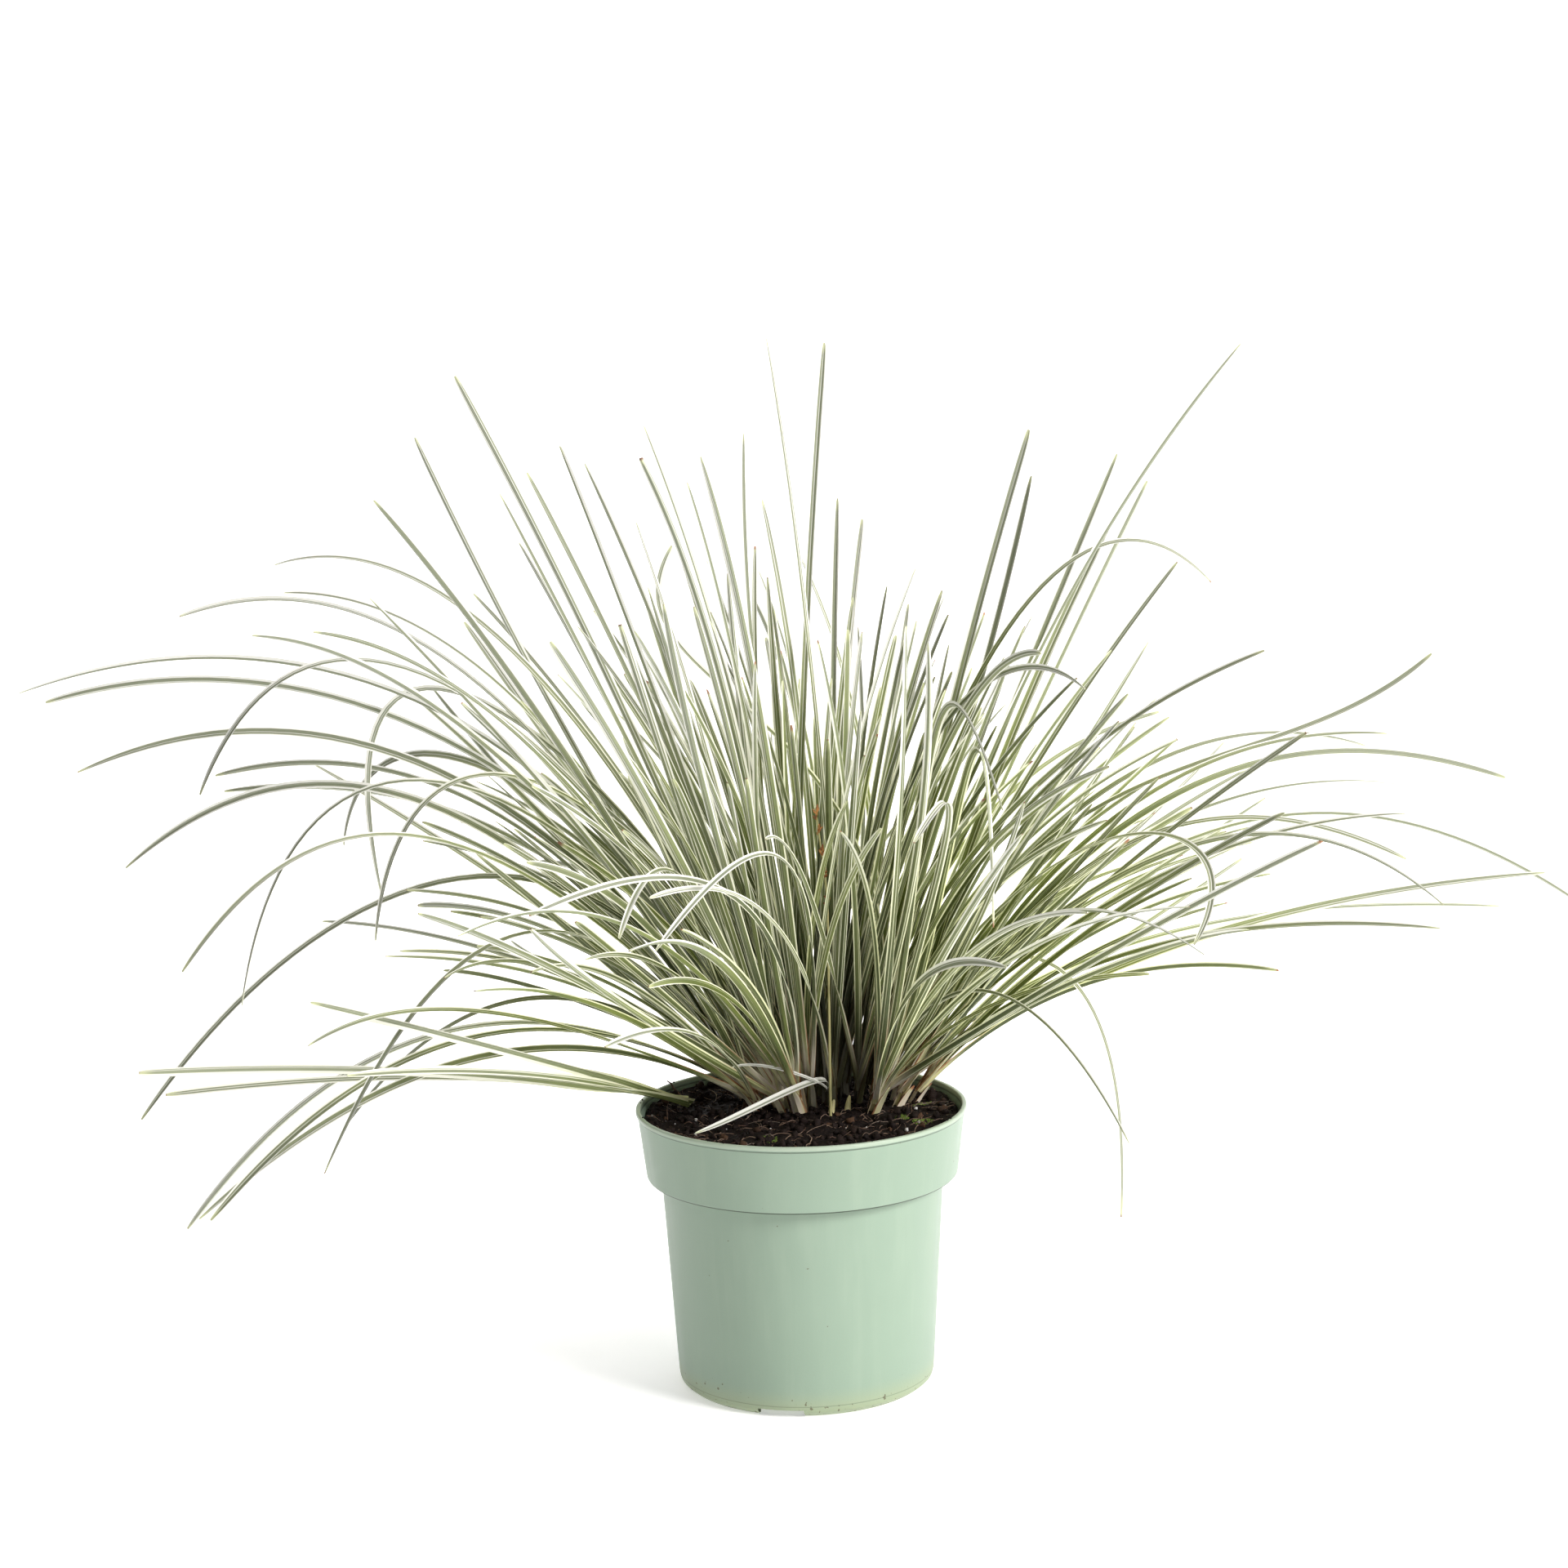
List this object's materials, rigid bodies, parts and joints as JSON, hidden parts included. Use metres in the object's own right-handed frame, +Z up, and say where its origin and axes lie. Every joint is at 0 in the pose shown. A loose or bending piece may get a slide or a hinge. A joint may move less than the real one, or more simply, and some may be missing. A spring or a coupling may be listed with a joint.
{
  "type": "potted variegated lomandra",
  "caption": "Variegated strap-leaved grass clump, arching out all round, in soil in a pale-green tapered nursery pot with a collar rim.",
  "frame": {"origin": "middle of the pot's underside, on its flat resting pad", "axes": "+Z up the pot's axis; -Y is the front, where the soil shows before the crown; +X to the right, along the clump's widest spread"},
  "size_m": [0.8119, 0.6482, 0.5349],
  "materials": {
    "pot_plastic": "satin",
    "soil": "matte",
    "leaf": "satin",
    "dry_spike": "matte",
    "young_shoot": "satin"
  },
  "bodies": {
    "root": {"pot": "pot_plastic", "potting_soil": "soil", "flower_spike": "dry_spike", "young_shoot_left": "young_shoot", "young_shoot_right": "young_shoot", "leaf_tuft_01": "leaf", "leaf_tuft_02": "leaf", "leaf_tuft_03": "leaf", "leaf_tuft_04": "leaf", "leaf_tuft_05": "leaf", "leaf_tuft_06": "leaf", "leaf_tuft_07": "leaf", "leaf_tuft_08": "leaf", "leaf_tuft_09": "leaf", "leaf_tuft_10": "leaf", "leaf_tuft_11": "leaf", "leaf_tuft_12": "leaf", "leaf_tuft_13": "leaf", "leaf_tuft_14": "leaf", "leaf_tuft_15": "leaf", "leaf_tuft_16": "leaf", "leaf_tuft_17": "leaf", "leaf_tuft_18": "leaf", "leaf_tuft_19": "leaf", "leaf_tuft_20": "leaf", "leaf_tuft_21": "leaf", "leaf_tuft_22": "leaf", "leaf_tuft_23": "leaf", "leaf_tuft_24": "leaf", "leaf_tuft_25": "leaf", "leaf_tuft_26": "leaf", "leaf_tuft_27": "leaf", "leaf_tuft_28": "leaf", "leaf_tuft_29": "leaf", "leaf_tuft_30": "leaf", "leaf_tuft_31": "leaf", "leaf_tuft_32": "leaf", "leaf_tuft_33": "leaf", "leaf_tuft_34": "leaf"}
  },
  "joints": []
}
